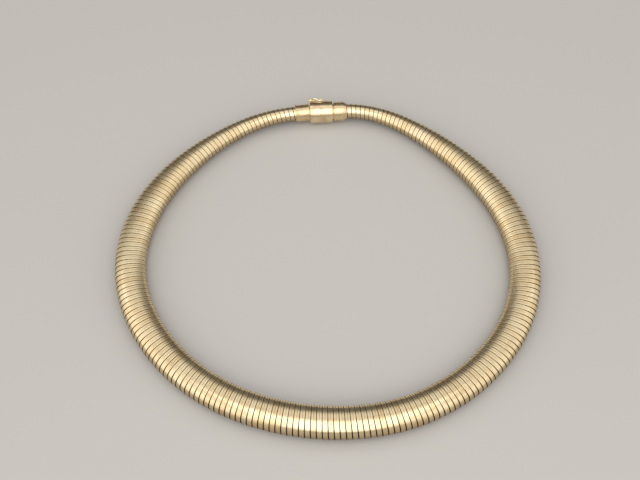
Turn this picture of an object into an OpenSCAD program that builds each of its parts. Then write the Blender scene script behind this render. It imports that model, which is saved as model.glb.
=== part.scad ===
// Tubogas choker: a hollow tube wound from one strip, closed in a loop by a round barrel clasp.
// It lies on its underside. The wide front of the loop is towards -Y, the clasp towards +Y.

/* [Loop] */
// Size of the loop, in per cent
loop_size = 100; // [96:1:104]
// Distance from the loop's middle to the clasp's axis
clasp_reach = 57; // [56:0.5:58]

/* [Tube] */
// Width of the tube round the front
tube_w = 10; // [9:0.1:11]
// Height of the tube round the front
tube_h = 7.6; // [7:0.1:8]
// Width of the tube where it enters the caps
tube_end_w = 5.1; // [4.8:0.1:5.1]
// Height of the tube where it enters the caps
tube_end_h = 4.9; // [4.6:0.1:5]
// Length over which the tube widens from a cap to its full width
taper_len = 76; // [60:1:90]
// How square the full section is: 2 is an ellipse
fullness = 2.3; // [2:0.1:2.6]
// Length of tube that one turn of the strip covers
wrap_pitch = 1.66; // [1.6:0.01:2]
// Depth of the groove between two turns
groove_depth = 0.3; // [0.2:0.05:0.35]
// Thickness of the wall at the crest of a turn
wall = 0.9; // [0.8:0.1:1]

/* [Clasp] */
// Diameter of the barrel
barrel_d = 7.8; // [7.6:0.1:8]
// Length of the barrel
barrel_len = 8; // [7.8:0.1:9]
// Diameter of the left cap
left_cap_d = 6.2; // [6.2:0.1:6.6]
// Diameter of the right cap
right_cap_d = 6.7; // [6.4:0.1:7]
// Length of each cap
cap_len = 4.9; // [4.5:0.1:5.5]
// Bend of the left cap against the barrel, in degrees
joint_bend = 4; // [0:0.5:4]
// Gap between the barrel and the left cap
joint_gap = 0.3; // [0.3:0.05:0.5]
// Depth that the tube goes into each cap
cup_depth = 2.4; // [2:0.1:3]

/* [Safety catch] */
// Thickness of the catch's wire
wire_d = 0.56; // [0.5:0.02:0.56]
// Place of the catch round the barrel, in degrees from the top towards the back
catch_clock = 42; // [35:1:45]
// Radius of the eye that goes over the post, at the middle of its wire
eye_r = 0.78; // [0.76:0.02:0.8]
// Distance from the middle of the eye to the hinge
catch_reach = 3.84; // [3.8:0.02:3.9]
// Clearance round the wire in its knuckle
hinge_gap = 0.05; // [0.03:0.01:0.08]

/* [Hidden] */
$fn = 48;
gold = "#c8a878";
old_gold = "#b08a5c";
pale_gold = "#d8cfa0";

// Guide points of the tube's centre line, from the left of the clasp round the front to its right,
// each [x, y]. The line is pulled smoothly towards them
GUIDES = [
    [-33.5, 49.5],
    [-60, 25.5],
    [-69.5, -13.5],
    [-40.5, -56],
    [21.5, -67],
    [65, -30.5],
    [64, 16],
    [32.5, 49.5],
];
left_lead = 9.5;
right_lead = 9;

// The tube's two ends stand inside their caps. Two more guide points in line with each cap make
// the tube leave it straight
joint_x = -barrel_len / 2;
left_run = joint_gap + cap_len - cup_depth;
left_way = [-cos(joint_bend), -sin(joint_bend)];
left_end = [joint_x, clasp_reach] + left_run * left_way;
right_end = [barrel_len / 2 + cap_len - cup_depth, clasp_reach];
right_way = [1, 0];
ALL_GUIDES = concat(
    [left_end - left_lead * left_way, left_end, left_end + left_lead * left_way],
    GUIDES * loop_size / 100,
    [right_end + right_lead * right_way, right_end, right_end - right_lead * right_way]);
SPANS = len(ALL_GUIDES) - 3;

// Uniform cubic B-spline through the guide points, and its direction
function span_of(u) = min(SPANS - 1, floor(u));
function four(u) = [for (k = [0:3]) ALL_GUIDES[span_of(u) + k]];
function route_xy(u) =
    let (t = u - span_of(u))
    [pow(1 - t, 3), 3 * pow(t, 3) - 6 * t * t + 4, -3 * pow(t, 3) + 3 * t * t + 3 * t + 1, pow(t, 3)]
    * four(u) / 6;
function route_way(u) =
    let (t = u - span_of(u), way = [-pow(1 - t, 2), 3 * t * t - 4 * t, -3 * t * t + 2 * t + 1, t * t] * four(u))
    way / norm(way);

// Length along the route from the left end to the right end, step by step
STEPS = 720;
STEP_POINTS = [for (k = [0:STEPS]) route_xy(SPANS * k / STEPS)];
STEP_LENGTHS = [for (total = 0, k = 0; k <= STEPS;
                     total = total + (k < STEPS ? norm(STEP_POINTS[k + 1] - STEP_POINTS[k]) : 0),
                     k = k + 1)
                [total, SPANS * k / STEPS]];
tube_len = STEP_LENGTHS[STEPS][0];
function ease(t) = (1 - cos(180 * min(1, max(0, t)))) / 2;
function mix(from, to, t) = from + (to - from) * t;

// A point of the tube's section: 0 degrees is the inner side, 90 the top and 180 the outer side
clasp_z = barrel_d / 2;
function sharp(v, n) = sign(v) * pow(abs(v), 2 / n);
function tube_point(s, turn, depth) =
    let (u = lookup(s, STEP_LENGTHS), middle = route_xy(u), way = route_way(u),
         t = ease((min(s, tube_len - s) - cup_depth) / taper_len), n = mix(2, fullness, t),
         out = -sharp(cos(turn), n) * (mix(tube_end_w, tube_w, t) / 2 - depth),
         up = sharp(sin(turn), n) * (mix(tube_end_h, tube_h, t) / 2 - depth))
    [middle[0] + way[1] * out, middle[1] - way[0] * out, mix(clasp_z, tube_h / 2, t) + up];

// The outer wall has two rows of points for each turn of the strip, one on its crest and one in
// the groove. They climb the tube as a right-handed helix, so the last side of a row runs on into
// the row after next
SIDES = 12;
plain_end = 0.4;
TURNS = round((tube_len - 2 * plain_end) / wrap_pitch);
turn_len = (tube_len - 2 * plain_end) / TURNS;
ROWS = 2 * TURNS - 1;
function row(r) =
    [for (k = [0:SIDES - 1])
        tube_point(plain_end + turn_len * (r / 2 + k / SIDES), 360 * k / SIDES,
                   r % 2 == 0 ? 0 : groove_depth)];
function ring(s, depth) = [for (k = [0:SIDES - 1]) tube_point(s, 360 * k / SIDES, depth)];
LINER_RINGS = 40;
TUBE_POINTS = concat(
    ring(0, 0),
    [for (r = [0:ROWS - 1]) each row(r)],
    ring(tube_len, 0),
    [for (j = [0:LINER_RINGS]) each ring(tube_len * j / LINER_RINGS, wall)]);

// Numbers of the points: the two end rings, point k of outer row r and of inner ring j
LAST = SIDES - 1;
function start_at(k) = k % SIDES;
function row_at(r, k) = SIDES * (1 + r) + k;
function end_at(k) = SIDES * (1 + ROWS) + k % SIDES;
function liner_at(j, k) = SIDES * (2 + ROWS + j) + k % SIDES;
function two(a, b, c, d) = [[a, b, c], [a, c, d]];
TUBE_FACES = concat(
    // The helix, side by side, and the last side of each row, which meets the row after next
    [for (r = [0:ROWS - 2], k = [0:LAST - 1])
        each two(row_at(r, k), row_at(r + 1, k), row_at(r + 1, k + 1), row_at(r, k + 1))],
    [for (r = [0:ROWS - 4])
        each two(row_at(r, LAST), row_at(r + 1, LAST), row_at(r + 3, 0), row_at(r + 2, 0))],
    // From the flat start to the first row
    [for (k = [0:LAST - 1]) each two(start_at(k), row_at(0, k), row_at(0, k + 1), start_at(k + 1))],
    [[row_at(0, LAST), row_at(2, 0), row_at(1, 0)], [row_at(0, LAST), row_at(1, 0), row_at(0, 0)],
     [row_at(0, LAST), row_at(0, 0), start_at(0)], [row_at(0, LAST), start_at(0), start_at(LAST)]],
    // From the last row to the flat end
    [for (k = [0:LAST - 1])
        each two(row_at(ROWS - 1, k), end_at(k), end_at(k + 1), row_at(ROWS - 1, k + 1))],
    [[row_at(ROWS - 1, 0), row_at(ROWS - 3, LAST), row_at(ROWS - 2, LAST)],
     [row_at(ROWS - 1, 0), row_at(ROWS - 2, LAST), row_at(ROWS - 1, LAST)],
     [row_at(ROWS - 1, 0), row_at(ROWS - 1, LAST), end_at(LAST)],
     [row_at(ROWS - 1, 0), end_at(LAST), end_at(0)]],
    // The inner wall and the two flat rims
    [for (j = [0:LINER_RINGS - 1], k = [0:LAST])
        each two(liner_at(j, k), liner_at(j, k + 1), liner_at(j + 1, k + 1), liner_at(j + 1, k))],
    [for (k = [0:LAST]) each two(start_at(k), start_at(k + 1), liner_at(0, k + 1), liner_at(0, k))],
    [for (k = [0:LAST])
        each two(end_at(k), liner_at(LINER_RINGS, k), liner_at(LINER_RINGS, k + 1), end_at(k + 1))]);

// The middle of the whole thing's box, which stands over the origin
xs = [for (p = TUBE_POINTS) p[0]];
ys = [for (p = TUBE_POINTS) p[1]];
MIDDLE = [(min(xs) + max(xs)) / 2, (min(ys) + clasp_reach + barrel_d / 2) / 2, 0];

// Frames: the barrel's runs along X with its middle at the origin, the left cap's starts at the
// joint, and the catch's is turned so that up is straight out of the barrel
module barrel_frame() {
    translate([0, clasp_reach, clasp_z] - MIDDLE) children();
}
module left_cap_frame() {
    barrel_frame() translate([joint_x, 0, 0]) rotate([0, 0, joint_bend]) children();
}
module catch_frame() {
    rotate([-catch_clock, 0, 0]) children();
}

// A turned piece: each row is a place along X and the radius there
module turned(profile) {
    rotate([90, 0, 90]) rotate_extrude()
        polygon([for (p = profile) [p[1], p[0]]]);
}
module rod_x(from, to, d) {
    translate([from, 0, 0]) rotate([0, 90, 0]) cylinder(h = to - from, d = d);
}

module wound_tube() {
    color(gold) translate(-MIDDLE) polyhedron(points = TUBE_POINTS, faces = TUBE_FACES, convexity = 8);
}

// Both caps are cups that the tube's end stands in
cup_gap = 0.15;
cup_floor_gap = 0.1;
cup_d = tube_end_w + 2 * cup_gap;
bead = 0.12;
bead_len = 0.4;

module end_cap_left() {
    near = -joint_gap;
    far = near - cap_len;
    cup_x = far + cup_depth + cup_floor_gap;
    left_cap_r = left_cap_d / 2;
    color(old_gold) left_cap_frame() turned([
        [near, 0], [near, left_cap_r - bead], [near - bead, left_cap_r],
        [near - bead_len, left_cap_r], [near - bead_len, left_cap_r - bead],
        [far + bead_len, left_cap_r - bead], [far + bead_len, left_cap_r],
        [far + bead, left_cap_r], [far, left_cap_r - bead],
        [far, cup_d / 2], [cup_x, cup_d / 2], [cup_x, 0]]);
}

groove_w = 0.45;
groove_in = 0.5;
step_len = 0.8;
step_in = 0.35;

module end_cap_right() {
    near = barrel_len / 2;
    far = near + cap_len;
    cup_x = far - cup_depth - cup_floor_gap;
    right_cap_r = right_cap_d / 2;
    color(old_gold) barrel_frame() turned([
        [near, 0], [near, right_cap_r - groove_in], [near + groove_w, right_cap_r - groove_in],
        [near + groove_w, right_cap_r - bead], [near + groove_w + bead, right_cap_r],
        [far - step_len - bead, right_cap_r], [far - step_len, right_cap_r - bead],
        [far - step_len, right_cap_r - step_in], [far - bead, right_cap_r - step_in],
        [far, right_cap_r - step_in - bead], [far, cup_d / 2], [cup_x, cup_d / 2], [cup_x, 0]]);
}

// The tongue is a leaf folded on itself behind a solid root, which carries the post
barrel_wall = 0.9;
bore_d = barrel_d - 2 * barrel_wall;
face_plate = 0.6;
closed_end = 0.8;
tongue_w = 3.6;
tongue_h = 2;
leaf = 0.6;
tongue_len = 6.2;
root_len = 1.1;
post_in = 0.36;
eye_x = joint_x + post_in;
post_d = 0.6;
ball_d = 0.84;
catch_over_barrel = 0.42;
ball_over_catch = 0.3;
catch_rise = barrel_d / 2 + catch_over_barrel;
ball_rise = catch_rise + ball_over_catch;

module clasp_tongue() {
    color(pale_gold) {
        left_cap_frame() {
            translate([-joint_gap, -tongue_w / 2, -tongue_h / 2])
                cube([joint_gap + root_len, tongue_w, tongue_h]);
            for (z = [-tongue_h / 2, tongue_h / 2 - leaf])
                translate([root_len, -tongue_w / 2, z]) cube([tongue_len - root_len, tongue_w, leaf]);
            translate([tongue_len - leaf, -tongue_w / 2, -tongue_h / 2]) cube([leaf, tongue_w, tongue_h]);
        }
        barrel_frame() catch_frame() translate([eye_x, 0, 0]) {
            cylinder(h = ball_rise, d = post_d);
            translate([0, 0, ball_rise]) sphere(d = ball_d);
        }
    }
}

slot_gap = 0.3;
notch_w = 1;
notch_len = 1.2;
knuckle_d = 1;
knuckle_len = 0.84;
hinge_x = eye_x + catch_reach;
rim = 0.15;
cut_past = 1;

module clasp_barrel() {
    r = barrel_d / 2;
    color(gold) barrel_frame() difference() {
        union() {
            turned([[joint_x, 0], [joint_x, r - rim], [joint_x + rim, r], [-joint_x - rim, r],
                    [-joint_x, r - rim], [-joint_x, 0]]);
            catch_frame() translate([hinge_x, -knuckle_len / 2, catch_rise])
                rotate([-90, 0, 0]) cylinder(h = knuckle_len, d = knuckle_d);
        }
        rod_x(joint_x + face_plate, -joint_x - closed_end, bore_d);
        translate([joint_x - cut_past, -tongue_w / 2 - slot_gap, -tongue_h / 2 - slot_gap])
            cube([face_plate + 2 * cut_past, tongue_w + 2 * slot_gap, tongue_h + 2 * slot_gap]);
        catch_frame() translate([joint_x - cut_past, -notch_w / 2, 0])
            cube([notch_len + cut_past, notch_w, barrel_d]);
        catch_frame() translate([hinge_x, -knuckle_len, catch_rise])
            rotate([-90, 0, 0]) cylinder(h = 2 * knuckle_len, d = wire_d + 2 * hinge_gap);
    }
}

// Figure eight of one closed wire: a round eye over the post, two crossing runs, the second with a
// hump over the first, and a squarer eye whose end turns in the knuckle. The hinge is at its origin
EYE_STEPS = 14;
CROSS_STEPS = 10;
BEND_STEPS = 4;
eye_open = 60;
cross_slope = 30;
corner_x = -0.9;
hinge_half = 0.75;
bend_r = 0.28;
hump_rise = 0.6;
hump_half = 1.15;
eye_end_x = -catch_reach + eye_r * cos(eye_open);
eye_end_y = eye_r * sin(eye_open);
cross_x = eye_end_x + eye_end_y / tan(cross_slope);
function hump(x) = hump_rise * (1 + cos(180 * min(1, abs(x - cross_x) / hump_half))) / 2;
function run_x(k) = mix(eye_end_x, corner_x, k / CROSS_STEPS);
function run_y(k) = (run_x(k) - cross_x) * tan(cross_slope);
EIGHT = concat(
    [for (k = [0:EYE_STEPS])
        let (a = mix(eye_open, 360 - eye_open, k / EYE_STEPS))
        [eye_r * cos(a) - catch_reach, eye_r * sin(a), 0]],
    [for (k = [1:CROSS_STEPS]) [run_x(k), run_y(k), 0]],
    [for (side = [1, -1], k = [0:BEND_STEPS])
        let (a = 90 * (side > 0 ? 1 - k / BEND_STEPS : -k / BEND_STEPS))
        [bend_r * (cos(a) - 1), side * (hinge_half - bend_r) + bend_r * sin(a), 0]],
    [for (k = [CROSS_STEPS:-1:1]) [run_x(k), -run_y(k), hump(run_x(k))]]);
WIRE_SIDES = 16;
WIRE_RINGS = len(EIGHT);
function wire_ring(i) =
    let (way = EIGHT[(i + 1) % WIRE_RINGS] - EIGHT[(i + WIRE_RINGS - 1) % WIRE_RINGS],
         left = [-way[1], way[0], 0] / norm([way[0], way[1]]), over = cross(way, left) / norm(way))
    [for (k = [0:WIRE_SIDES - 1])
        let (a = 360 * k / WIRE_SIDES) EIGHT[i] + wire_d / 2 * (cos(a) * left + sin(a) * over)];
function wire_at(i, k) = WIRE_SIDES * (i % WIRE_RINGS) + k % WIRE_SIDES;

module safety_catch() {
    color(pale_gold) barrel_frame() catch_frame() translate([hinge_x, 0, catch_rise])
        polyhedron(
            points = [for (i = [0:WIRE_RINGS - 1]) each wire_ring(i)],
            faces = [for (i = [0:WIRE_RINGS - 1], k = [0:WIRE_SIDES - 1])
                each two(wire_at(i, k), wire_at(i + 1, k), wire_at(i + 1, k + 1), wire_at(i, k + 1))],
            convexity = 6);
}

wound_tube();
end_cap_left();
clasp_tongue();
clasp_barrel();
end_cap_right();
safety_catch();
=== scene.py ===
"""Tubogas choker: a tube wound from gilt strip, closed by a barrel clasp with a safety catch."""

import math

import bpy
import numpy as np
from bpy.props import FloatProperty, FloatVectorProperty, IntProperty, PointerProperty
from mathutils import Matrix, Vector


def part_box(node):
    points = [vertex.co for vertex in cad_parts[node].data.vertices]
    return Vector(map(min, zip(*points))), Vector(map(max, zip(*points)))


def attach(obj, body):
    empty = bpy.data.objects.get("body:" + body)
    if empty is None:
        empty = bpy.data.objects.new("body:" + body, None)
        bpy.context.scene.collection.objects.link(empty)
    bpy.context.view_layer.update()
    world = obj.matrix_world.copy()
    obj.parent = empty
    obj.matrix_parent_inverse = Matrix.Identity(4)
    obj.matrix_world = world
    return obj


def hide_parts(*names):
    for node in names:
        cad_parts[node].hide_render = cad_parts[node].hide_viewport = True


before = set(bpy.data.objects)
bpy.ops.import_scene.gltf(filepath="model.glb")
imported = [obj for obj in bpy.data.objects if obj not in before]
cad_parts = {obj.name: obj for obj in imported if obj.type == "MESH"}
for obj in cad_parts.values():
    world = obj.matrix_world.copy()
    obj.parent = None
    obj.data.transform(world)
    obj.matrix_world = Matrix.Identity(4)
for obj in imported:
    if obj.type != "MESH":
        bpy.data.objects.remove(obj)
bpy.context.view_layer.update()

bl_info = {
    "name": "Tubogas choker",
    "version": (1, 0, 0),
    "blender": (4, 5, 0),
    "location": "View3D > Sidebar > Choker",
    "description": "Builds a tubogas choker round its CAD frame",
    "category": "Object",
}

MM = 0.001


def linear(code):
    """Turns an sRGB hex colour into the linear numbers that Blender works in."""
    parts = [int(code[k : k + 2], 16) / 255 for k in (1, 3, 5)]
    return [p / 12.92 if p <= 0.04045 else ((p + 0.055) / 1.055) ** 2.4 for p in parts]


def length(name, default, description):
    """A length in a property group, in metres."""
    return FloatProperty(
        name=name, description=description, default=default, unit="LENGTH", precision=5
    )


def colour(name, code, description):
    """A colour in a property group."""
    return FloatVectorProperty(
        name=name, description=description, default=linear(code), subtype="COLOR", min=0, max=1
    )


class ChokerTube(bpy.types.PropertyGroup):
    """Sizes and colours of the wound tube."""

    width: length("Width", 10 * MM, "Width of the tube round the front")
    height: length("Height", 7.6 * MM, "Height of the tube round the front")
    end_width: length("End width", 5.1 * MM, "Width of the tube in its caps")
    end_height: length("End height", 4.9 * MM, "Height of the tube in its caps")
    taper: length("Taper", 76 * MM, "Length over which each end widens")
    groove_depth: length("Groove depth", 0.3 * MM, "Depth of the groove between two turns")
    fullness: FloatProperty(
        name="Fullness", description="How square the full section is", default=2.3
    )
    turns: IntProperty(name="Turns", description="Turns of the strip", default=223)
    sides: IntProperty(name="Sides", description="Faces round one turn", default=40)
    gold: colour("Gold", "#f1dfb8", "Gilding on the crests of the strip")
    worn: colour("Worn gold", "#e6cda0", "Gilding that is worn and browner")
    # Painted shade: the underside colour darkens the tube's lower side, where the light falls
    # least, and is no wear from the skin
    underside_shade: colour("Underside", "#967a4e", "Dull brown gilding on the side that lies on the skin")
    # The groove colour is tarnished metal with painted shade: it fills the dark line in each
    # groove, and the fine lap line
    tarnish_and_groove_shade: colour("Tarnish", "#2e2015", "Dirt and tarnish in the grooves")


class ChokerClasp(bpy.types.PropertyGroup):
    """Sizes and colours of the clasp."""

    left_cap: length("Left cap", 6.2 * MM, "Diameter of the left cap")
    right_cap: length("Right cap", 6.7 * MM, "Diameter of the right cap")
    bead: length("Bead", 0.12 * MM, "Height of the beads round the left cap")
    cap_groove: length("Cap groove", 0.5 * MM, "Depth of the groove beside the barrel")
    rim: length("Rim", 0.15 * MM, "Rounding of the barrel's two rims")
    barrel: colour("Barrel", "#eedab3", "Gilding on the barrel")
    cap: colour("Caps", "#e6cea6", "Gilding on the end caps")
    worn: colour("Worn", "#d6ba94", "Browner gilding in worn patches")
    wire: colour("Wire", "#faf4dc", "Brighter gilding of the catch and its post")
    wire_worn: colour("Worn wire", "#e3d6a6", "Yellower gilding of the wire")


class ChokerStage(bpy.types.PropertyGroup):
    """Floor and lights."""

    floor: colour("Floor", "#bcbbb8", "Colour of the floor")
    walls: colour("Walls", "#fff9f2", "Tint of the room's walls and ceiling")
    key: FloatProperty(name="Key light", description="Brightness of the softboxes", default=1.32)
    fill: FloatProperty(name="Fill light", description="Brightness of the room", default=1.6)


# The centre line, as the tube's solid has it: guide points in millimetres, from the left of the
# clasp round the front to its right, and two more in line with each cap
GUIDES = [
    (-33.5, 49.5),
    (-60, 25.5),
    (-69.5, -13.5),
    (-40.5, -56),
    (21.5, -67),
    (65, -30.5),
    (64, 16),
    (32.5, 49.5),
]
# How far behind the guides' origin the clasp's axis lies
CLASP_REACH = 57
# The caps: their length, and the cup in each that the tube goes into, with its clearances
CAP_LEN = 4.9
CUP_DEPTH = 2.4
CUP_GAP = 0.15
CUP_FLOOR_GAP = 0.1
# The joint between left cap and barrel stands open by a gap and is bent by a few degrees
JOINT_GAP = 0.3
JOINT_BEND = math.radians(4)
# Spacing of the guide points in line with each cap, which keep the tube's ends straight
LEFT_LEAD = 9.5
RIGHT_LEAD = 9
# Length at each end of the tube that has no whole turn
PLAIN_END = 0.4

# The clasp's axis runs along X through the middle of the barrel.
BARREL_LOW, BARREL_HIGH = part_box("clasp_barrel")
CLASP_MIDDLE = (BARREL_LOW + BARREL_HIGH) / 2
BARREL_LEN = (BARREL_HIGH.x - BARREL_LOW.x) / MM
BARREL_D = (BARREL_HIGH.z - BARREL_LOW.z) / MM
JOINT_X = -BARREL_LEN / 2

# Sizes of the tongue, its post, the slot and notch that they go into, and the safety catch
TONGUE_W = 3.6
TONGUE_H = 2
TONGUE_LEN = 6.2
ROOT_LEN = 1.1
LEAF = 0.6
SLOT_GAP = 0.3
NOTCH_W = 1
NOTCH_LEN = 1.2
POST_D = 0.6
BALL_D = 0.84
# How far past the barrel's open end the post stands, which is where the catch's eye goes over it
POST_SETBACK = 0.36
EYE_X = JOINT_X + POST_SETBACK
# The catch is turned from the top of the barrel towards the back. Its wire lies above the barrel,
# and the post's ball above the wire
CATCH_CLOCK = math.radians(42)
WIRE_LIFT = 0.42
CATCH_RISE = BARREL_D / 2 + WIRE_LIFT
BALL_LIFT = 0.3
BALL_RISE = CATCH_RISE + BALL_LIFT
# From the eye's middle to the hinge
CATCH_REACH = 3.84
HINGE_X = EYE_X + CATCH_REACH
WIRE_D = 0.56
KNUCKLE_D = 1
KNUCKLE_LEN = 0.84
HINGE_GAP = 0.05

CLASP_FRAME = Matrix.Translation(CLASP_MIDDLE)
LEFT_CAP_FRAME = (
    CLASP_FRAME @ Matrix.Translation((JOINT_X * MM, 0, 0)) @ Matrix.Rotation(JOINT_BEND, 4, "Z")
)
CATCH_FRAME = CLASP_FRAME @ Matrix.Rotation(-CATCH_CLOCK, 4, "X")
UPWARD = Matrix.Rotation(-math.pi / 2, 4, "Y")

# Turning of the caps and the barrel, in millimetres
BEAD_LEN = 0.4
GROOVE_W = 0.45
STEP_LEN = 0.8
STEP_IN = 0.35
FACE_PLATE = 0.6
BARREL_WALL = 0.9
CLOSED_END = 0.8
SLOT_ROUND = 0.25
EDGE_ROUND = 0.04
# The barrel's first band of faces, which takes in the whole notch
NOTCH_BAND = 1.5 * NOTCH_LEN
# How far a cutting block reaches past what it cuts
OVERCUT = 1
# Points closer than this are at the same place along a piece
SAME_PLACE = 0.01

# Roundings as a share of the bead's height and of half the tongue's height, and the small flat
# that closes the ball, as a share of its radius
BEAD_ROUND = 0.45
FOLD_ROUND = 0.8
BALL_TIP = 0.05

# Faces round each turned piece, and rings of faces over the ball
CAP_SIDES = 96
BARREL_SIDES = 128
KNUCKLE_SIDES = 40
POST_SIDES = 32
BALL_RINGS = 10

# Edges sharper than these angles stay crisp: those of turned pieces, of the strip and of the wire
SHARP_EDGE = math.radians(35)
SHARP_STRIP = math.radians(50)
SHARP_WIRE = math.radians(80)

# The wire of the catch, bent to a figure eight: lengths in millimetres and numbers of points
EYE_R = 0.78
EYE_OPEN = math.radians(60)
EYE_STEPS = 42
CROSS_SLOPE = math.radians(30)
CROSS_STEPS = 24
CORNER_X = -0.9
EYE_END_X = EYE_R * math.cos(EYE_OPEN) - CATCH_REACH
CROSS_X = EYE_END_X + EYE_R * math.sin(EYE_OPEN) / math.tan(CROSS_SLOPE)
HINGE_HALF = 0.75
BEND_R = 0.28
BEND_STEPS = 8
HUMP_RISE = 0.6
HUMP_HALF = 1.15
WIRE_ROUND = 9
WIRE_STEPS = 160
WIRE_EASING = 4


def all_guides():
    """Every guide point of the centre line, in millimetres, with the clasp at x = 0."""
    left_way = np.array([-math.cos(JOINT_BEND), -math.sin(JOINT_BEND)])
    left_run = JOINT_GAP + CAP_LEN - CUP_DEPTH
    left_end = np.array([-BARREL_LEN / 2, CLASP_REACH]) + left_run * left_way
    right_way = np.array([1, 0])
    right_end = np.array([BARREL_LEN / 2 + CAP_LEN - CUP_DEPTH, CLASP_REACH])
    return np.array(
        [left_end + k * LEFT_LEAD * left_way for k in (-1, 0, 1)]
        + [np.array(g) for g in GUIDES]
        + [right_end + k * RIGHT_LEAD * right_way for k in (1, 0, -1)]
    )


def route(u):
    """Points and directions of a uniform cubic B-spline through the guide points."""
    guides = all_guides()
    span = np.clip(np.floor(u).astype(int), 0, len(guides) - 4)
    t = (u - span)[:, None]
    four = [guides[span + k] for k in range(4)]
    spread = [(1 - t) ** 3, 3 * t**3 - 6 * t**2 + 4, -3 * t**3 + 3 * t**2 + 3 * t + 1, t**3]
    slope = [-((1 - t) ** 2), 3 * t**2 - 4 * t, -3 * t**2 + 2 * t + 1, t**2]
    point = sum(w * g for w, g in zip(spread, four)) / 6
    way = sum(w * g for w, g in zip(slope, four))
    return point, way / np.linalg.norm(way, axis=1)[:, None]


def route_lengths(steps=4000):
    """Length along the centre line, in millimetres, and the spline parameter there."""
    u = np.linspace(0, len(GUIDES) + 3, steps + 1)
    point, _ = route(u)
    run = np.concatenate([[0], np.cumsum(np.linalg.norm(np.diff(point, axis=0), axis=1))])
    return run, u


def ease(t):
    """Half a cosine wave from 0 to 1."""
    return (1 - np.cos(math.pi * np.clip(t, 0, 1))) / 2


def power(value, n):
    """A cosine or sine of an ellipse squared up to the given fullness."""
    return np.sign(value) * np.abs(value) ** (2 / n)


def deselect():
    """Leaves nothing selected."""
    if bpy.context.object and bpy.context.object.mode != "OBJECT":
        bpy.ops.object.mode_set(mode="OBJECT")
    bpy.ops.object.select_all(action="DESELECT")


def select_only(piece):
    """Makes one object the active and only selected one."""
    deselect()
    piece.select_set(True)
    bpy.context.view_layer.objects.active = piece


def apply_modifier(piece, kind, **settings):
    """Adds a modifier with its settings and applies it."""
    select_only(piece)
    bpy.ops.object.modifier_add(type=kind)
    modifier = piece.modifiers[-1]
    for name, value in settings.items():
        setattr(modifier, name, value)
    bpy.ops.object.modifier_apply(modifier=modifier.name)


def bevel(piece, width, segments):
    """Rounds every sharp edge. The width is in millimetres."""
    apply_modifier(
        piece,
        "BEVEL",
        width=width * MM,
        segments=segments,
        limit_method="ANGLE",
        angle_limit=SHARP_EDGE,
        miter_outer="MITER_ARC",
    )


def combine(piece, tool, operation):
    """Joins a second solid to a piece, or cuts it away, and removes the second solid."""
    apply_modifier(piece, "BOOLEAN", object=tool, operation=operation, solver="EXACT")
    bpy.data.objects.remove(tool)


def settle(name, place):
    """Names the piece being modelled and moves it by a matrix, with its place in its mesh."""
    bpy.ops.object.mode_set(mode="OBJECT")
    piece = bpy.context.object
    piece.name = name
    piece.data.name = name
    piece.matrix_world = place @ piece.matrix_world
    bpy.ops.object.transform_apply(location=True, rotation=True, scale=True)
    return piece


def turn(name, rings, place, sides):
    """Turns a solid on the X axis from rings of (place along X, radius), in millimetres. The first
    and the last ring are closed with a flat face."""
    deselect()
    x, radius = rings[0]
    bpy.ops.mesh.primitive_circle_add(
        vertices=sides,
        radius=radius * MM,
        fill_type="NGON",
        location=(x * MM, 0, 0),
        rotation=(0, math.pi / 2, 0),
        enter_editmode=True,
    )
    for next_x, next_radius in rings[1:]:
        bpy.ops.mesh.extrude_region_move(
            TRANSFORM_OT_translate={"value": ((next_x - x) * MM, 0, 0)}
        )
        share = next_radius / radius
        bpy.ops.transform.resize(value=(1, share, share), center_override=(next_x * MM, 0, 0))
        x, radius = next_x, next_radius
    bpy.ops.mesh.select_all(action="SELECT")
    bpy.ops.mesh.normals_make_consistent(inside=False)
    return settle(name, place)


def block(name, low, high, place):
    """A box between two corners in millimetres."""
    deselect()
    bpy.ops.mesh.primitive_cube_add(
        size=1,
        location=[(a + b) / 2 * MM for a, b in zip(low, high)],
        scale=[(b - a) * MM for a, b in zip(low, high)],
    )
    return settle(name, place)


def add(tree, kind, inputs=(), stops=(), **settings):
    """Adds a shader node with its settings. An input is a value or the socket that feeds it, and
    stops are the places and colours of a ramp."""
    node = tree.nodes.new(kind)
    for name, value in settings.items():
        setattr(node, name, value)
    for name, value in dict(inputs).items():
        if isinstance(value, bpy.types.NodeSocket):
            tree.links.new(value, node.inputs[name])
        else:
            node.inputs[name].default_value = value
    for k, (place, shade) in enumerate(stops):
        ramp = node.color_ramp.elements
        element = ramp[k] if k < 2 else ramp.new(place)
        element.position = place
        element.color = (*shade, 1)
    return node


def new_material(name):
    """A material with an empty node tree and its output."""
    material = bpy.data.materials.new(name)
    material.use_nodes = True
    tree = material.node_tree
    tree.nodes.clear()
    return material, tree, tree.nodes.new("ShaderNodeOutputMaterial")


def grey(*places):
    """Stops of a ramp from (place, brightness) pairs."""
    return [(place, (level, level, level)) for place, level in places]


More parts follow.
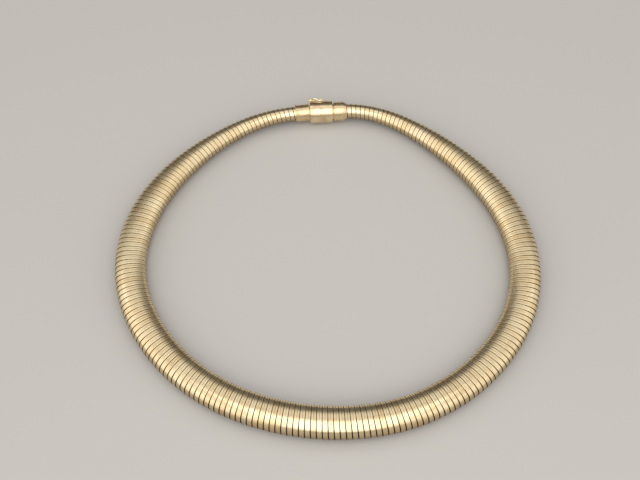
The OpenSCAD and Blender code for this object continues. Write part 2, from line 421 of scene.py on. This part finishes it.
def wound_strip_material(tube):
    """Gilt brass strip, drawn and wound: satin, with a faint draw grain along the strip, a dark
    line in the grooves of tarnished metal and painted shade, whose painted shade widens it on the
    outer flank, painted shade that darkens the tube's lower side, and a fine second line on each
    turn where the strip laps over itself on the inner side."""
    material, tree, out = new_material("gilt_brass_strip")
    wrap = add(tree, "ShaderNodeUVMap", uv_map="wrap")
    split = add(tree, "ShaderNodeSeparateXYZ", {0: wrap.outputs[0]})
    around, along = split.outputs[0], split.outputs[1]
    turns = add(tree, "ShaderNodeMath", {0: along, 1: tube.turns}, operation="MULTIPLY")
    lag = add(tree, "ShaderNodeMath", {0: turns.outputs[0], 1: around}, operation="SUBTRACT")
    middle = add(tree, "ShaderNodeMath", {0: lag.outputs[0], 1: 0.5}, operation="ADD")

    # Share of the pitch from the middle of the nearest groove: 0.5 is the middle of the crest
    aside = add(tree, "ShaderNodeMath", {0: middle.outputs[0], 1: 0.5}, operation="PINGPONG")
    turn_no = add(tree, "ShaderNodeMath", {0: middle.outputs[0]}, operation="FLOOR")
    unrolled = add(tree, "ShaderNodeMath", {0: turn_no.outputs[0], 1: around}, operation="ADD")
    strip = add(tree, "ShaderNodeCombineXYZ", {0: unrolled.outputs[0], 1: middle.outputs[0]})

    # Draw lines run along the strip: about 12 of them over its width, each a third of a turn long
    grain_place = add(
        tree, "ShaderNodeVectorMath", {0: strip.outputs[0], 1: (3, 26, 1)}, operation="MULTIPLY"
    )
    grain = add(
        tree,
        "ShaderNodeTexNoise",
        {"Vector": grain_place.outputs[0], "Scale": 1.0, "Detail": 3.0, "Roughness": 0.5},
    )

    # Each turn catches the light a little differently, in a patch about half a turn long
    turn_place = add(
        tree, "ShaderNodeCombineXYZ", {0: unrolled.outputs[0], 1: turn_no.outputs[0]}
    )
    shift = add(
        tree, "ShaderNodeTexNoise", {"Vector": turn_place.outputs[0], "Scale": 1.7, "Detail": 1.0}
    )

    # Wear in patches of about 8 mm, and grime of about 1 mm
    place = add(tree, "ShaderNodeTexCoord").outputs["Object"]
    patches = add(tree, "ShaderNodeTexNoise", {"Vector": place, "Scale": 120.0, "Detail": 4.0})
    grime = add(tree, "ShaderNodeTexNoise", {"Vector": place, "Scale": 900.0, "Detail": 3.0})

    # Half the width of the dark line in each groove, as a share of the pitch: thin on the top, wide
    # outside. The line is tarnished metal with painted shade, and the painted shade widens it
    # outside
    line = add(
        tree,
        "ShaderNodeValToRGB",
        {0: around},
        grey(
            (0, 0.05),
            (0.2, 0.04),
            (0.3, 0.05),
            (0.4, 0.085),
            (0.55, 0.1),
            (0.85, 0.08),
            (1, 0.05),
        ),
    )
    line_end = add(tree, "ShaderNodeMath", {0: line.outputs[0], 1: 0.035}, operation="ADD")
    # Painted shade and tarnished metal: the dark line in each groove
    groove_shade_and_dirt = add(
        tree,
        "ShaderNodeMapRange",
        {0: aside.outputs[0], 1: line.outputs[0], 2: line_end.outputs[0], 3: 1.0, 4: 0.0},
        interpolation_type="SMOOTHSTEP",
    )

    # The lap is a fine line along the middle of each crest, on the tube's inner side alone. It
    # opens where the tube is full and closes towards its ends
    lap = add(
        tree,
        "ShaderNodeMapRange",
        {0: aside.outputs[0], 1: 0.42, 2: 0.465, 3: 0.0, 4: 1.0},
        interpolation_type="SMOOTHSTEP",
    )
    inner = add(
        tree,
        "ShaderNodeValToRGB",
        {0: around},
        grey((0, 0.6), (0.12, 0.6), (0.22, 0.5), (0.28, 0.3), (0.33, 0), (0.85, 0), (1, 0.6)),
    )
    from_end = add(tree, "ShaderNodeMath", {0: along, 1: 0.5}, operation="PINGPONG")
    opened = add(
        tree, "ShaderNodeMapRange", {0: from_end.outputs[0], 1: 0.08, 2: 0.24, 3: 0.15, 4: 1.0}
    )
    lap_depth = add(
        tree, "ShaderNodeMath", {0: inner.outputs[0], 1: opened.outputs[0]}, operation="MULTIPLY"
    )
    lap_line = add(
        tree, "ShaderNodeMath", {0: lap.outputs[0], 1: lap_depth.outputs[0]}, operation="MULTIPLY"
    )
    dark = add(
        tree, "ShaderNodeMath", {0: groove_shade_and_dirt.outputs[0], 1: lap_line.outputs[0]}, operation="MAXIMUM"
    )

    # Gilding: worn and fresh patches with each turn's painted sheen mixed in, painted shade that
    # darkens the lower side, and the tarnished, painted-shaded colour in the lines
    # The wear value holds the patches of wear and the painted sheen that differs from turn to turn
    wear = add(
        tree, "ShaderNodeMath", {0: patches.outputs[0], 1: shift.outputs[0]}, operation="ADD"
    )
    wear_and_sheen_share = add(tree, "ShaderNodeMath", {0: wear.outputs[0], 1: 0.5}, operation="MULTIPLY")
    tone = add(
        tree,
        "ShaderNodeValToRGB",
        {0: wear_and_sheen_share.outputs[0]},
        [(0.38, tube.worn), (0.58, tube.gold)],
    )
    # Painted shade: the underside colour covers the lower outer flank, the bottom and the lower
    # inner edge
    underside_shade = add(
        tree,
        "ShaderNodeValToRGB",
        {0: around},
        grey(
            (0, 0.5),
            (0.09, 0),
            (0.38, 0),
            (0.45, 0.35),
            (0.52, 0.8),
            (0.6, 1),
            (0.88, 1),
            (1, 0.5),
        ),
    )
    gilding = add(
        tree,
        "ShaderNodeMix",
        {0: underside_shade.outputs[0], 6: tone.outputs[0], 7: (*tube.underside_shade, 1)},
        data_type="RGBA",
    )
    base = add(
        tree,
        "ShaderNodeMix",
        {0: dark.outputs[0], 6: gilding.outputs[2], 7: (*tube.tarnish_and_groove_shade, 1)},
        data_type="RGBA",
    )

    # Satin metal is duller where it is grimy, and duller again in the dark lines
    rough = add(
        tree,
        "ShaderNodeMapRange",
        {0: grime.outputs[0], 1: 0.3, 2: 0.7, 3: 0.2, 4: 0.3},
    )
    rougher = add(
        tree,
        "ShaderNodeMath",
        {0: dark.outputs[0], 1: 0.3, 2: rough.outputs[0]},
        operation="MULTIPLY_ADD",
    )
    lines = add(
        tree,
        "ShaderNodeMath",
        {0: lap_line.outputs[0], 1: -1.5, 2: grain.outputs[0]},
        operation="MULTIPLY_ADD",
    )
    bump = add(
        tree,
        "ShaderNodeBump",
        {"Strength": 0.3, "Distance": 0.00002, "Height": lines.outputs[0]},
    )
    shader = add(
        tree,
        "ShaderNodeBsdfPrincipled",
        {
            "Base Color": base.outputs[2],
            "Metallic": 1.0,
            "Roughness": rougher.outputs[0],
            "Normal": bump.outputs[0],
        },
    )
    tree.links.new(shader.outputs[0], out.inputs[0])
    return material


def gilt_brass_material(name, shade, worn, roughness):
    """Gilt brass of the clasp: metal with fine tool rings round the clasp's axis and brown wear in
    patches. A low roughness is polished or drawn metal, and a higher one is turned and satin."""
    material, tree, out = new_material(name)
    place = add(tree, "ShaderNodeTexCoord").outputs["Object"]

    # Tool rings 0.12 mm apart, round an axis along X
    ring_place = add(
        tree, "ShaderNodeVectorMath", {0: place, 1: (8000, 160, 160)}, operation="MULTIPLY"
    )
    rings = add(
        tree,
        "ShaderNodeTexNoise",
        {"Vector": ring_place.outputs[0], "Scale": 1.0, "Detail": 3.0},
    )

    # Wear in patches of about 3 mm, and grime of about 0.7 mm
    patches = add(tree, "ShaderNodeTexNoise", {"Vector": place, "Scale": 320.0, "Detail": 5.0})
    grime = add(tree, "ShaderNodeTexNoise", {"Vector": place, "Scale": 1500.0, "Detail": 3.0})
    tone = add(
        tree, "ShaderNodeValToRGB", {0: patches.outputs[0]}, [(0.3, worn), (0.52, shade)]
    )
    rough = add(
        tree,
        "ShaderNodeMapRange",
        {0: grime.outputs[0], 1: 0.3, 2: 0.7, 3: roughness - 0.06, 4: roughness + 0.08},
    )
    bump = add(
        tree,
        "ShaderNodeBump",
        {"Strength": 0.15, "Distance": 0.00002, "Height": rings.outputs[0]},
    )
    shader = add(
        tree,
        "ShaderNodeBsdfPrincipled",
        {
            "Base Color": tone.outputs[0],
            "Metallic": 1.0,
            "Roughness": rough.outputs[0],
            "Normal": bump.outputs[0],
        },
    )
    tree.links.new(shader.outputs[0], out.inputs[0])
    return material


def give(piece, material, body):
    """Gives a piece its one material and the body that it moves with."""
    piece.data.materials.clear()
    piece.data.materials.append(material)
    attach(piece, body)


# One turn of the strip across its width, from the edge of one groove to the same edge of the next:
# (share of the pitch from the crest's middle, depth as a share of the groove's). The crest is flat
# with small rounded shoulders, and the groove is the last step
STRIP_SECTION = [
    (-0.458, 1),
    (-0.452, 0.3),
    (-0.44, 0.06),
    (-0.42, 0),
    (-0.38, 0),
    (0.38, 0),
    (0.42, 0),
    (0.44, 0.06),
    (0.452, 0.3),
    (0.458, 1),
    (0.542, 1),
]

# The helix is wound straight, round and at a metre to the millimetre, and then laid on the route:
# its radius to the crests, the distance that joins its turns, and the tolerance of its end cuts
ROUND_R = 5
WELD = 0.002
CUT_TOLERANCE = 1e-5


class CHOKER_OT_wind_tube(bpy.types.Operator):
    """Wind the strip into a helix and lay it along the loop"""

    bl_idname = "choker.wind_tube"
    bl_label = "Wound tube"

    def execute(self, context):
        tube = context.scene.choker_tube
        run, u = route_lengths()
        pitch = (run[-1] - 2 * PLAIN_END) / tube.turns
        groove = tube.groove_depth / MM

        # The strip's section is drawn beside the axis from one point, and a screw modifier winds
        # it up
        section = [Vector((ROUND_R - d * groove, 0, w * pitch)) for w, d in STRIP_SECTION]
        deselect()
        bpy.ops.mesh.primitive_plane_add(size=pitch, location=section[0], enter_editmode=True)
        bpy.ops.mesh.merge(type="CENTER")
        for here, there in zip(section, section[1:]):
            bpy.ops.mesh.extrude_vertices_move(TRANSFORM_OT_translate={"value": there - here})
        piece = settle("wound_tube_strip", Matrix())
        apply_modifier(
            piece,
            "SCREW",
            axis="Z",
            screw_offset=pitch,
            iterations=tube.turns + 2,
            steps=tube.sides,
            render_steps=tube.sides,
        )
        select_only(piece)
        bpy.ops.object.mode_set(mode="EDIT")
        bpy.ops.mesh.select_all(action="SELECT")
        bpy.ops.mesh.remove_doubles(threshold=WELD)

        # Both ends are cut square and closed, where the caps hide them
        first = pitch - PLAIN_END
        for cut, keeps_above in ((first, True), (first + run[-1], False)):
            bpy.ops.mesh.select_all(action="SELECT")
            bpy.ops.mesh.bisect(
                plane_co=(0, 0, cut),
                plane_no=(0, 0, 1),
                use_fill=True,
                clear_inner=keeps_above,
                clear_outer=not keeps_above,
                threshold=CUT_TOLERANCE,
            )
        bpy.ops.mesh.select_all(action="SELECT")
        bpy.ops.mesh.normals_make_consistent(inside=False)
        bpy.ops.object.mode_set(mode="OBJECT")

        # Each point of the straight helix: its angle, its depth under the crests, its length along
        mesh = piece.data
        place = np.empty(len(mesh.vertices) * 3)
        mesh.vertices.foreach_get("co", place)
        place = place.reshape(-1, 3)
        angle = np.mod(np.arctan2(place[:, 1], place[:, 0]), 2 * math.pi)
        depth = ROUND_R - np.linalg.norm(place[:, :2], axis=1)
        s = place[:, 2] - first
        self.unwrap(mesh, angle, s, run[-1])

        # The same point on the route, where the section widens from round to full
        middle, way = route(np.interp(s, run, u))
        widening = ease((np.minimum(s, run[-1] - s) - CUP_DEPTH) * MM / tube.taper)
        n = 2 + (tube.fullness - 2) * widening
        half_w = (tube.end_width + (tube.width - tube.end_width) * widening) / MM / 2
        half_h = (tube.end_height + (tube.height - tube.end_height) * widening) / MM / 2
        out = -power(np.cos(angle), n) * (half_w - depth)
        up = power(np.sin(angle), n) * (half_h - depth)
        level = BARREL_D / 2 + (tube.height / MM / 2 - BARREL_D / 2) * widening
        laid = np.stack(
            [middle[:, 0] + way[:, 1] * out, middle[:, 1] - way[:, 0] * out, level + up], axis=1
        )
        shift = np.array([CLASP_MIDDLE.x, CLASP_MIDDLE.y - CLASP_REACH * MM, 0])
        mesh.vertices.foreach_set("co", (laid * MM + shift).ravel())
        mesh.update()
        select_only(piece)
        bpy.ops.object.shade_smooth_by_angle(angle=SHARP_STRIP)
        give(piece, wound_strip_material(tube), "choker")
        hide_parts("wound_tube")
        return {"FINISHED"}

    @staticmethod
    def unwrap(mesh, angle, s, total):
        """Writes where each face corner lies: share of a turn, and share of the tube's length."""
        corners = np.empty(len(mesh.loops), dtype=int)
        mesh.loops.foreach_get("vertex_index", corners)
        share = angle[corners] / (2 * math.pi)
        starts = np.empty(len(mesh.polygons), dtype=int)
        mesh.polygons.foreach_get("loop_start", starts)
        face = np.repeat(np.arange(len(starts)), np.diff(np.append(starts, len(corners))))

        # A face that spans the start of a turn has corners in its last and its first quarter, and
        # those in the first are counted on
        highest = np.maximum.reduceat(share, starts)
        share = np.where((highest[face] > 0.75) & (share < 0.25), share + 1, share)
        along = (s[corners] - PLAIN_END) / (total - 2 * PLAIN_END)
        layer = mesh.uv_layers.new(name="wrap")
        layer.data.foreach_set("uv", np.stack([share, along], axis=1).ravel())


def put_in_place(piece, material, body, node, sharp=SHARP_EDGE):
    """Smooths a finished piece below an angle, and puts it in its CAD node's place."""
    select_only(piece)
    bpy.ops.object.shade_smooth_by_angle(angle=sharp)
    give(piece, material, body)
    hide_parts(node)


class CHOKER_OT_turn_caps(bpy.types.Operator):
    """Turn the two cups that hold the ends of the tube"""

    bl_idname = "choker.turn_caps"
    bl_label = "End caps"

    def execute(self, context):
        clasp = context.scene.choker_clasp
        bead = clasp.bead / MM
        cup_r = context.scene.choker_tube.end_width / MM / 2 + CUP_GAP
        deep = CUP_DEPTH + CUP_FLOOR_GAP

        # The left cap is plain between a bead at each end
        r = clasp.left_cap / MM / 2
        near = -JOINT_GAP
        far = near - CAP_LEN
        rings = [
            (near, r),
            (near - BEAD_LEN, r),
            (near - BEAD_LEN, r - bead),
            (far + BEAD_LEN, r - bead),
            (far + BEAD_LEN, r),
            (far, r),
            (far, cup_r),
            (far + deep, cup_r),
        ]
        left = turn("left_cap_cup", rings, LEFT_CAP_FRAME, CAP_SIDES)

        # The right cap has a groove beside the barrel and a step down to the tube
        r = clasp.right_cap / MM / 2
        near = BARREL_LEN / 2
        far = near + CAP_LEN
        neck_r = r - clasp.cap_groove / MM
        step_r = r - STEP_IN
        rings = [
            (near, neck_r),
            (near + GROOVE_W, neck_r),
            (near + GROOVE_W, r),
            (far - STEP_LEN, r),
            (far - STEP_LEN, step_r),
            (far, step_r),
            (far, cup_r),
            (far - deep, cup_r),
        ]
        right = turn("right_cap_cup", rings, CLASP_FRAME, CAP_SIDES)

        # Turned and left satin, so that light spreads into a soft band along each cap
        metal = gilt_brass_material("turned_gilt_brass_cap", clasp.cap, clasp.worn, 0.24)
        for cap, node in ((left, "end_cap_left"), (right, "end_cap_right")):
            bevel(cap, bead * BEAD_ROUND, segments=3)
            put_in_place(cap, metal, "choker", node)
        return {"FINISHED"}


class CHOKER_OT_turn_barrel(bpy.types.Operator):
    """Turn the barrel, bore it, and cut its slot and notch"""

    bl_idname = "choker.turn_barrel"
    bl_label = "Barrel"

    def execute(self, context):
        clasp = context.scene.choker_clasp
        r = BARREL_D / 2

        # The notch and the hinge each have a band of faces of their own, so that the long faces
        # between them and beyond them stay whole
        cuts = [
            JOINT_X,
            JOINT_X + NOTCH_BAND,
            HINGE_X - KNUCKLE_D,
            HINGE_X + KNUCKLE_D,
            -JOINT_X,
        ]
        barrel = turn("barrel_shell", [(x, r) for x in cuts], CLASP_FRAME, BARREL_SIDES)
        bevel(barrel, clasp.rim / MM, segments=5)
        bore = turn(
            "bore",
            [(JOINT_X + FACE_PLATE, r - BARREL_WALL), (-JOINT_X - CLOSED_END, r - BARREL_WALL)],
            CLASP_FRAME,
            BARREL_SIDES,
        )
        combine(barrel, bore, "DIFFERENCE")

        # The tongue goes in through a slot in the barrel's face, and its post through a notch
        wide = TONGUE_W / 2 + SLOT_GAP
        high = TONGUE_H / 2 + SLOT_GAP
        slot = block(
            "slot",
            (JOINT_X - OVERCUT, -wide, -high),
            (JOINT_X + OVERCUT, wide, high),
            CLASP_FRAME,
        )
        bevel(slot, SLOT_ROUND, segments=4)
        combine(barrel, slot, "DIFFERENCE")
        notch = block(
            "notch",
            (JOINT_X - OVERCUT, -NOTCH_W / 2, 0),
            (JOINT_X + NOTCH_LEN, NOTCH_W / 2, BARREL_D),
            CATCH_FRAME,
        )
        combine(barrel, notch, "DIFFERENCE")

        # The catch's hinge is a little roll soldered across the top, with a hole along it
        across = CATCH_FRAME @ Matrix.Translation((HINGE_X * MM, 0, CATCH_RISE * MM))
        across = across @ Matrix.Rotation(math.pi / 2, 4, "Z")
        half = KNUCKLE_LEN / 2
        roll_r = KNUCKLE_D / 2
        hole_r = WIRE_D / 2 + HINGE_GAP
        knuckle = turn("knuckle", [(-half, roll_r), (half, roll_r)], across, KNUCKLE_SIDES)
        hole = turn("hole", [(-2 * half, hole_r), (2 * half, hole_r)], across, KNUCKLE_SIDES)
        combine(knuckle, hole, "DIFFERENCE")
        bevel(knuckle, HINGE_GAP, segments=3)
        combine(barrel, knuckle, "UNION")
        bevel(barrel, EDGE_ROUND, segments=2)

        # Turned finer than the caps, so its band of light is narrower and brighter
        metal = gilt_brass_material("turned_gilt_brass_barrel", clasp.barrel, clasp.worn, 0.2)
        put_in_place(barrel, metal, "choker", "clasp_barrel")
        return {"FINISHED"}


class CHOKER_OT_fold_tongue(bpy.types.Operator):
    """Fold the tongue and stand its ball-headed post on it"""

    bl_idname = "choker.fold_tongue"
    bl_label = "Tongue and post"

    def execute(self, context):
        clasp = context.scene.choker_clasp
        wide = TONGUE_W / 2
        high = TONGUE_H / 2
        tongue = block(
            "tongue_leaf", (-JOINT_GAP, -wide, -high), (TONGUE_LEN, wide, high), Matrix()
        )

        # The two edges of the fold at its far end are selected by their place and rounded
        select_only(tongue)
        bpy.ops.object.mode_set(mode="EDIT")
        bpy.ops.mesh.select_all(action="DESELECT")
        bpy.ops.object.mode_set(mode="OBJECT")
        for edge in tongue.data.edges:
            ends = [tongue.data.vertices[v].co for v in edge.vertices]
            at_end = all(abs(e.x - TONGUE_LEN * MM) < SAME_PLACE * MM for e in ends)
            edge.select = at_end and abs(ends[0].y - ends[1].y) > wide * MM
        bpy.ops.object.mode_set(mode="EDIT")
        bpy.ops.mesh.bevel(offset=high * FOLD_ROUND * MM, segments=8)
        bpy.ops.object.mode_set(mode="OBJECT")

        # The leaf is open between its two flats, from the fold to its root
        inner = block(
            "inner",
            (ROOT_LEN, -wide - OVERCUT, LEAF - high),
            (TONGUE_LEN - LEAF, wide + OVERCUT, high - LEAF),
            Matrix(),
        )
        bevel(inner, (high - LEAF) * FOLD_ROUND, segments=6)
        combine(tongue, inner, "DIFFERENCE")
        bevel(tongue, EDGE_ROUND, segments=2)
        select_only(tongue)
        tongue.matrix_world = LEFT_CAP_FRAME
        bpy.ops.object.transform_apply(location=True, rotation=True, scale=True)

        # The post is a rod whose end is turned to a ball
        post_r = POST_D / 2
        ball_r = BALL_D / 2
        first = math.asin(post_r / ball_r)
        arc = [first + (math.pi - first) * k / BALL_RINGS for k in range(BALL_RINGS)]
        rings = [(0, post_r)] + [
            (BALL_RISE - ball_r * math.cos(a), ball_r * math.sin(a)) for a in arc
        ]
        rings.append((BALL_RISE + ball_r, ball_r * BALL_TIP))
        stand = CATCH_FRAME @ Matrix.Translation((EYE_X * MM, 0, 0)) @ UPWARD
        post = turn("post", rings, stand, POST_SIDES)
        combine(tongue, post, "UNION")

        # Polished, so the ball has a small sharp highlight
        metal = gilt_brass_material("polished_gilt_wire", clasp.wire, clasp.wire_worn, 0.14)
        put_in_place(tongue, metal, "choker", "clasp_tongue")
        return {"FINISHED"}


def hump(x):
    """Rise of the upper wire where it crosses the lower one, in millimetres."""
    return HUMP_RISE * (1 + math.cos(math.pi * min(1, abs(x - CROSS_X) / HUMP_HALF))) / 2


def figure_eight():
    """The catch's closed wire, in millimetres from its hinge: a round eye, two crossing runs and
    the squarer eye whose end turns in the knuckle."""
    eye = []
    for k in range(EYE_STEPS + 1):
        a = EYE_OPEN + (2 * math.pi - 2 * EYE_OPEN) * k / EYE_STEPS
        eye.append((EYE_R * math.cos(a) - CATCH_REACH, EYE_R * math.sin(a), 0))
    shares = [k / CROSS_STEPS for k in range(1, CROSS_STEPS + 1)]
    runs = [EYE_END_X + (CORNER_X - EYE_END_X) * share for share in shares]
    slope = math.tan(CROSS_SLOPE)
    there = [(x, (x - CROSS_X) * slope, 0) for x in runs]
    back = [(x, (CROSS_X - x) * slope, hump(x)) for x in reversed(runs)]
    corners = []
    for side in (1, -1):
        for k in range(BEND_STEPS + 1):
            share = k / BEND_STEPS
            a = math.pi / 2 * (1 - share if side > 0 else -share)
            y = side * (HINGE_HALF - BEND_R) + BEND_R * math.sin(a)
            corners.append((BEND_R * (math.cos(a) - 1), y, 0))
    return eased(np.array(eye + there + corners + back))


def eased(path):
    """The closed path with points at even steps, each drawn a little towards its neighbours."""
    ring = np.vstack([path, path[:1]])
    run = np.concatenate([[0], np.cumsum(np.linalg.norm(np.diff(ring, axis=0), axis=1))])
    steps = np.linspace(0, run[-1], WIRE_STEPS, endpoint=False)
    even = np.stack([np.interp(steps, run, ring[:, k]) for k in range(3)], axis=1)
    for _ in range(WIRE_EASING):
        even = even / 2 + (np.roll(even, 1, axis=0) + np.roll(even, -1, axis=0)) / 4
    return even


class CHOKER_OT_bend_catch(bpy.types.Operator):
    """Bend the safety catch from one closed wire"""

    bl_idname = "choker.bend_catch"
    bl_label = "Safety catch"

    def execute(self, context):
        clasp = context.scene.choker_clasp
        deselect()
        bpy.ops.curve.primitive_bezier_circle_add()
        wire = context.object.data
        wire.splines.clear()
        path = figure_eight()
        spline = wire.splines.new("POLY")
        spline.points.add(len(path) - 1)
        for point, (x, y, z) in zip(spline.points, path):
            point.co = (x * MM, y * MM, z * MM, 1)
        spline.use_cyclic_u = True
        wire.bevel_depth = WIRE_D / 2 * MM
        wire.bevel_resolution = WIRE_ROUND
        bpy.ops.object.convert(target="MESH")
        hinge = Matrix.Translation((HINGE_X * MM, 0, CATCH_RISE * MM))
        catch = settle("catch_wire", CATCH_FRAME @ hinge)

        # Drawn through a die, so it is the brightest metal here, with a thin line of light along it
        metal = gilt_brass_material("drawn_gilt_wire", clasp.wire, clasp.wire_worn, 0.12)
        put_in_place(catch, metal, "catch", "safety_catch", SHARP_WIRE)
        return {"FINISHED"}


# The floor's side in metres, and how far it lies under the choker, so that no faces coincide
FLOOR_SIDE = 3
FLOOR_DROP = 0.02 * MM

# The camera's place, its turn from straight ahead to the right, its tilt downwards and its lens in
# millimetres, which together give the loop the shape that it has in the photograph
CAMERA_PLACE = Vector((-9.69, -168.89, 282.6)) * MM
CAMERA_TURN = math.radians(2.5)
CAMERA_DOWN = math.radians(57.94)
CAMERA_LENS = 56.25
SENSOR_WIDTH = 36

# Height of the softboxes above the floor, in metres
SOFTBOX_HEIGHT = 0.4


class CHOKER_OT_set_stage(bpy.types.Operator):
    """Lay the floor and set the lights and the camera"""

    bl_idname = "choker.set_stage"
    bl_label = "Floor, lights and camera"

    def execute(self, context):
        stage = context.scene.choker_stage
        deselect()
        bpy.ops.mesh.primitive_plane_add(size=FLOOR_SIDE, location=(0, 0, -FLOOR_DROP))
        floor = context.object
        floor.name = "floor"

        # Matt paper: no reflection of its own, and fibres of about 1 mm that barely show
        material, tree, out = new_material("matt_paper")
        place = add(tree, "ShaderNodeTexCoord").outputs["Object"]
        fibre = add(tree, "ShaderNodeTexNoise", {"Vector": place, "Scale": 900.0, "Detail": 4.0})
        bump = add(
            tree,
            "ShaderNodeBump",
            {"Strength": 0.08, "Distance": 0.0001, "Height": fibre.outputs[0]},
        )
        shader = add(
            tree,
            "ShaderNodeBsdfPrincipled",
            {
                "Base Color": (*stage.floor, 1),
                "Roughness": 0.75,
                "Normal": bump.outputs[0],
            },
        )
        tree.links.new(shader.outputs[0], out.inputs[0])
        floor.data.materials.append(material)

        # Flat softboxes face down. Each has a place and size in metres, and a share of brightness
        softboxes = [
            ("overhead_softbox", (0, -0.37), (0.32, 0.76), 1.0),
            ("front_softbox", (0, -0.5), (1.1, 0.5), 0.22),
            ("left_softbox", (-0.33, 0.2), (0.66, 0.2), 0.42),
            ("right_softbox", (0.33, 0.2), (0.66, 0.2), 0.36),
        ]
        for name, (x, y), (wide, deep), share in softboxes:
            bpy.ops.object.light_add(type="AREA", location=(x, y, SOFTBOX_HEIGHT))
            light = context.object
            light.name = name
            light.visible_camera = False
            light.data.shape = "RECTANGLE"
            light.data.size = wide
            light.data.size_y = deep
            light.data.energy = stage.key * share * math.pi * wide * deep

        # The room is light in front and overhead and dark at the back, and lighter at its two sides
        # than between them
        world = bpy.data.worlds.new("studio")
        world.use_nodes = True
        tree = world.node_tree
        background = tree.nodes["Background"]
        towards = add(tree, "ShaderNodeTexCoord").outputs["Generated"]
        split = add(tree, "ShaderNodeSeparateXYZ", {0: towards})
        front_to_back = add(
            tree, "ShaderNodeMapRange", {0: split.outputs[1], 1: -1.0, 2: 1.0, 3: 0.0, 4: 1.0}
        )
        walls = add(
            tree,
            "ShaderNodeValToRGB",
            {0: front_to_back.outputs[0]},
            grey(
                (0, 0.5),
                (0.05, 0.65),
                (0.15, 0.9),
                (0.5, 0.85),
                (0.67, 0.65),
                (0.75, 0.45),
                (0.8, 0.3),
                (0.9, 0.14),
            ),
        )
        left_to_right = add(
            tree, "ShaderNodeMapRange", {0: split.outputs[0], 1: -1.0, 2: 1.0, 3: 0.0, 4: 1.0}
        )
        sides = add(
            tree,
            "ShaderNodeValToRGB",
            {0: left_to_right.outputs[0]},
            grey((0, 0.95), (0.2, 0.9), (0.35, 0.6), (0.65, 0.6), (0.8, 0.75), (1, 0.75)),
        )
        room = add(
            tree,
            "ShaderNodeMix",
            {0: 1.0, 6: walls.outputs[0], 7: sides.outputs[0]},
            data_type="RGBA",
            blend_type="MULTIPLY",
        )
        warm = add(
            tree,
            "ShaderNodeMix",
            {0: 1.0, 6: room.outputs[2], 7: (*stage.walls, 1)},
            data_type="RGBA",
            blend_type="MULTIPLY",
        )
        tree.links.new(warm.outputs[2], background.inputs[0])
        background.inputs[1].default_value = stage.fill
        context.scene.world = world
        context.scene.view_settings.view_transform = "Standard"

        data = bpy.data.cameras.new("camera")
        camera = bpy.data.objects.new("camera", data)
        context.scene.collection.objects.link(camera)
        data.lens = CAMERA_LENS
        data.sensor_width = SENSOR_WIDTH
        data.clip_start = 0.01
        data.clip_end = 10
        camera.location = CAMERA_PLACE
        look = Vector(
            (
                math.sin(CAMERA_TURN) * math.cos(CAMERA_DOWN),
                math.cos(CAMERA_TURN) * math.cos(CAMERA_DOWN),
                -math.sin(CAMERA_DOWN),
            )
        )
        camera.rotation_mode = "QUATERNION"
        camera.rotation_quaternion = look.to_track_quat("-Z", "Y")
        context.scene.camera = camera
        return {"FINISHED"}


# The settings by the names that the scene holds them under, and the steps in their order
SETTINGS = {
    "choker_tube": ChokerTube,
    "choker_clasp": ChokerClasp,
    "choker_stage": ChokerStage,
}
STEPS = (
    CHOKER_OT_wind_tube,
    CHOKER_OT_turn_caps,
    CHOKER_OT_turn_barrel,
    CHOKER_OT_fold_tongue,
    CHOKER_OT_bend_catch,
    CHOKER_OT_set_stage,
)


class CHOKER_PT_panel(bpy.types.Panel):
    """Choker settings and the steps that build it."""

    bl_idname = "CHOKER_PT_panel"
    bl_label = "Tubogas choker"
    bl_space_type = "VIEW_3D"
    bl_region_type = "UI"
    bl_category = "Choker"

    def draw(self, context):
        for group in SETTINGS:
            settings = getattr(context.scene, group)
            for name in settings.__annotations__:
                self.layout.prop(settings, name)
        for step in STEPS:
            self.layout.operator(step.bl_idname)


CLASSES = (*SETTINGS.values(), *STEPS, CHOKER_PT_panel)


def register():
    """Makes the settings, the steps and the panel known to Blender."""
    for cls in CLASSES:
        bpy.utils.register_class(cls)
    for name, group in SETTINGS.items():
        setattr(bpy.types.Scene, name, PointerProperty(type=group))


def unregister():
    """Takes them out again."""
    for name in SETTINGS:
        delattr(bpy.types.Scene, name)
    for cls in reversed(CLASSES):
        bpy.utils.unregister_class(cls)


def main():
    """Builds the choker and its stage."""
    register()
    bpy.ops.choker.wind_tube()
    bpy.ops.choker.turn_caps()
    bpy.ops.choker.turn_barrel()
    bpy.ops.choker.fold_tongue()
    bpy.ops.choker.bend_catch()
    bpy.ops.choker.set_stage()


if __name__ == "__main__":
    main()
